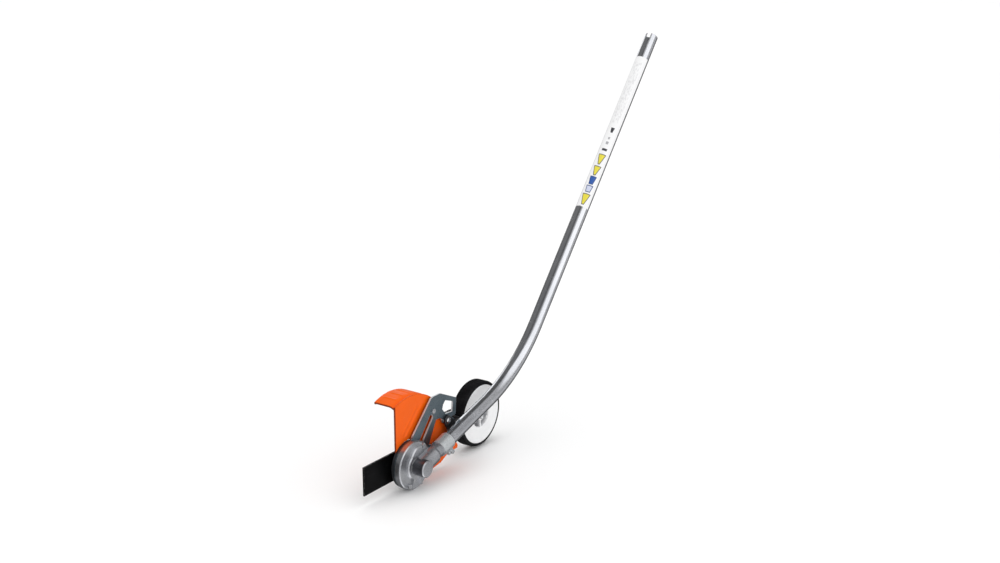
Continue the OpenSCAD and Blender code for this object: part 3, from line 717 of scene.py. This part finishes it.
def guard():
    """The moulded guard: the CAD shell with soft edges and two raised beads on its side."""
    bm = bmesh.new()
    bm.from_mesh(nodes["guard"].data)
    bmesh.ops.remove_doubles(bm, verts=bm.verts, dist=1e-6)
    # The beads run up and back at 45 degrees, beside the bracket's front leg
    leg_front = (corners("bracket")[1].x - SPINDLE.x) * 0.685
    head = Vector((SPINDLE.x, guard_face(), SPINDLE.z))
    forwards_up, back_up = Vector((0.707, 0, 0.707)), Vector((-0.707, 0, 0.707))
    for offset, width, height in ((9.0, 2.8, 2.8), (19.0, 1.8, 2.2)):
        bead_at = head + forwards_up * (leg_front + offset * MM)
        bead_at += back_up * (68 - 0.5 * offset) * MM
        turn = Matrix.Translation(bead_at) @ Matrix.Rotation(math.radians(-45), 4, "Y")
        box_solid(bm, turn, Vector((width, height, 72 - offset)) * MM)
    mesh = remeshed("guard_shell", bm, 1.1 * MM, 3)
    new_object("guard_shell", mesh, guard_finish(), "root", "guard")


# ---------- wheel ----------

# Cuts across the tread, and the steps of the turn from one to the next
CROSS_CUTS = 48
CUT_EVERY = 6


def tyre():
    """The tyre: grooves round it, and cross cuts in its outer ribs."""
    low, high = corners("tyre")
    radius = (high.x - low.x) / 2 / MM
    half = (high.y - low.y) / 2 / MM
    centre = Vector((WHEEL.x, (low.y + high.y) / 2, WHEEL.z))
    disc_low, disc_high = corners("wheel_disc")
    seat = (disc_high.x - disc_low.x) / 2 / MM + 0.02
    top, bottom = radius - 0.05, radius - 0.9
    mouth_half, floor_half = 0.9, 0.5
    grooves = []
    for share in (0.60, 0.42, 0.24, 0.06):
        y = -half * share
        grooves += [(top, y - mouth_half), (bottom, y - floor_half)]
        grooves += [(bottom, y + floor_half), (top, y + mouth_half)]
    wall = [(seat, -half + 0.6), (radius - 5.0, -half), (radius - 1.2, -half + 2.0)]
    wall_radii = [0.3, 2.0, 2.4]
    half_outline = wall + grooves
    outline = half_outline + [(r, -y) for r, y in reversed(half_outline)]
    radii = wall_radii + [0.12] * (2 * len(grooves)) + wall_radii[::-1]

    def cross_cut(step, r, y):
        """Moves the outer ribs' tops in at every cut."""
        if step % CUT_EVERY == 0 and r > radius - 1.6 and abs(y) > half * 0.32:
            return -0.7
        return 0.0

    bm = revolved(filleted(outline, radii, 3), centre, CROSS_CUTS * CUT_EVERY, cross_cut)
    new_object("tyre_tread", mesh_from("tyre_tread", bm), tyre_finish(), "wheel", "tyre")


def wheel_disc():
    """The white disc: a dished web, a pocketed hub and ribs on the far side."""
    low, high = corners("wheel_disc")
    tyre_low, tyre_high = corners("tyre")
    rim = (high.x - low.x) / 2 / MM
    # Levels along Y, in mm from the wheel's joint: the disc's face and back, then the hub's two ends
    face = (tyre_high.y - WHEEL.y) / MM - 0.8
    far = (tyre_low.y - WHEEL.y) / MM + 1.0
    deep = (low.y - WHEEL.y) / MM
    near = (high.y - WHEEL.y) / MM
    pocket_floor = face - 12.0
    pocket_back = face - 15.0
    # Radii in mm
    bore, hub, pocket = 8.0, 11.0, 24.5
    rim_inside = rim - 3.4
    outline = [
        (bore, near), (hub, near), (hub, pocket_floor), (pocket - 1.5, pocket_floor),
        (pocket, face - 0.4), (pocket + 3.5, face), (rim - 8.0, face - 0.6), (rim - 5.5, face),
        (rim, face), (rim, far), (rim_inside, far), (rim_inside, face - 3.8),
        (pocket + 3.0, face - 3.6), (pocket + 1.0, pocket_back), (hub, pocket_back),
        (hub, deep), (bore, deep),
    ]
    radii = [0.6, 1.0, 1.6, 2.2, 1.2, 1.6, 1.2, 1.0, 0.9, 0.5, 0.5, 1.5, 2.0, 1.2, 0.8, 0.6, 0.4]
    bm = revolved(filleted(outline, radii, 4), WHEEL, 144)
    # Six ribs behind the web, and six spokes in the pocket
    web_back = face - 4.0
    rib_end = rim - 3.0
    for i in range(6):
        turn = Matrix.Translation(WHEEL) @ Matrix.Rotation(math.radians(60 * i + 30), 4, "Y")
        rib_at = Vector(((hub + rib_end) / 2, (far + web_back) / 2, 0))
        rib_size = Vector((rib_end - hub + 1.0, web_back - far - 6.0, 2.4))
        box_solid(bm, turn @ Matrix.Translation(rib_at * MM), rib_size * MM)
        spoke_at = Vector(((hub + pocket) / 2, face - 7.6, 0))
        spoke_size = Vector((pocket - hub + 1.0, 11.6, 3.4))
        box_solid(bm, turn @ Matrix.Translation(spoke_at * MM), spoke_size * MM)
    mesh = mesh_from("disc_turned", bm)
    obj = new_object("disc_moulding", mesh, disc_finish(), "wheel", "wheel_disc")
    keep_corners(obj)


def label_wrap():
    """The printed wrap: a thin sleeve round the tube, with a gap where its ends nearly meet."""
    low, high = corners("tube_label")
    outer = (high.y - low.y) / 2
    inner = outer - 0.07 * MM
    # The box's corners lie on the rims of the tilted sleeve, so its ends are a little further in
    tilt = outer * abs(UP_AXIS.x)
    start = (tilt - high.z) / UP_AXIS.z
    length = -(low.z + tilt) / UP_AXIS.z - start
    gap_from, gap_to = math.radians(54), math.radians(110)
    first = SIGHT_TURN + gap_to
    sweep = 2 * math.pi - (gap_to - gap_from)
    around, steps = 120, 80
    wrinkle, tuck = 0.02 * MM, 0.05 * MM
    bm = bmesh.new()
    sheets = []
    for radius in (outer, inner):
        rows = []
        for i in range(steps + 1):
            t = i / steps
            row = []
            for j in range(around + 1):
                a = first + sweep * j / around
                r = radius
                if radius == outer:
                    r += min(0.0, wrinkle * math.sin(9 * a + 7 * t) * math.sin(11 * t + 2 * a))
                    r -= tuck if i in (0, steps) or j in (0, around) else 0.0
                out = TUBE_OUT * (r * math.cos(a)) + SIDEWAYS * (r * math.sin(a))
                row.append(bm.verts.new(out - UP_AXIS * (start + length * t)))
            rows.append(row)
        sheets.append(rows)
    outside, inside = sheets
    for i in range(steps):
        for j in range(around):
            for rows in sheets:
                bm.faces.new((rows[i][j], rows[i + 1][j], rows[i + 1][j + 1], rows[i][j + 1]))
        for j in (0, around):
            bm.faces.new((outside[i][j], outside[i + 1][j], inside[i + 1][j], inside[i][j]))
    for j in range(around):
        for i in (0, steps):
            bm.faces.new((outside[i][j], outside[i][j + 1], inside[i][j + 1], inside[i][j]))
    bmesh.ops.recalc_face_normals(bm, faces=bm.faces)
    mesh = mesh_from("label_wrap", bm)
    obj = new_object("label_wrap", mesh, label_finish(), "root", "tube_label")
    keep_corners(obj)


for maker in (guard, tyre, wheel_disc, label_wrap):
    maker()

# ---------- materials of the CAD nodes ----------

GROUPS = {
    "drive_tube": ["drive_tube"],
    "zinc": ["housing_screws", "pinch_screws", "guard_screws", "blade_nut", "pivot_washer", "clamp_screw",
             "axle_washers", "axle_nut"],
    "steel": ["drive_coupler", "pinion_shaft", "arbor_flange", "clamp_washer", "pivot_pin",
              "slot_nut", "pinion_gear", "ring_gear", "pinion_bearings", "upper_bearing", "lower_bearing",
              "drive_cable"],
    "dark_steel": ["pinion_circlip", "spindle_circlip", "pivot_clip", "clamp_washer_small"],
    "cover": ["bearing_cover"],
    "arm": ["wheel_arm"],
    "rubber": ["spindle_seal", "liner_guides"],
    "dark_plastic": ["cable_liner", "wheel_bushes"],
    "bronze": ["coupler_bush"],
}


def paint(node, material):
    mesh = nodes[node].data
    mesh.materials.clear()
    mesh.materials.append(material)


for finish, members in GROUPS.items():
    for node in members:
        paint(node, MATERIALS[finish])
paint("gear_housing", cast_finish())
paint("blade", blade_finish())
paint("bracket", plate_finish())
paint("spindle", threaded("spindle_steel", STEEL, SPINDLE, corners("clamp_washer")[0].y))
paint("wheel_axle", threaded("axle_zinc", ZINC, WHEEL, corners("wheel_arm")[0].y))
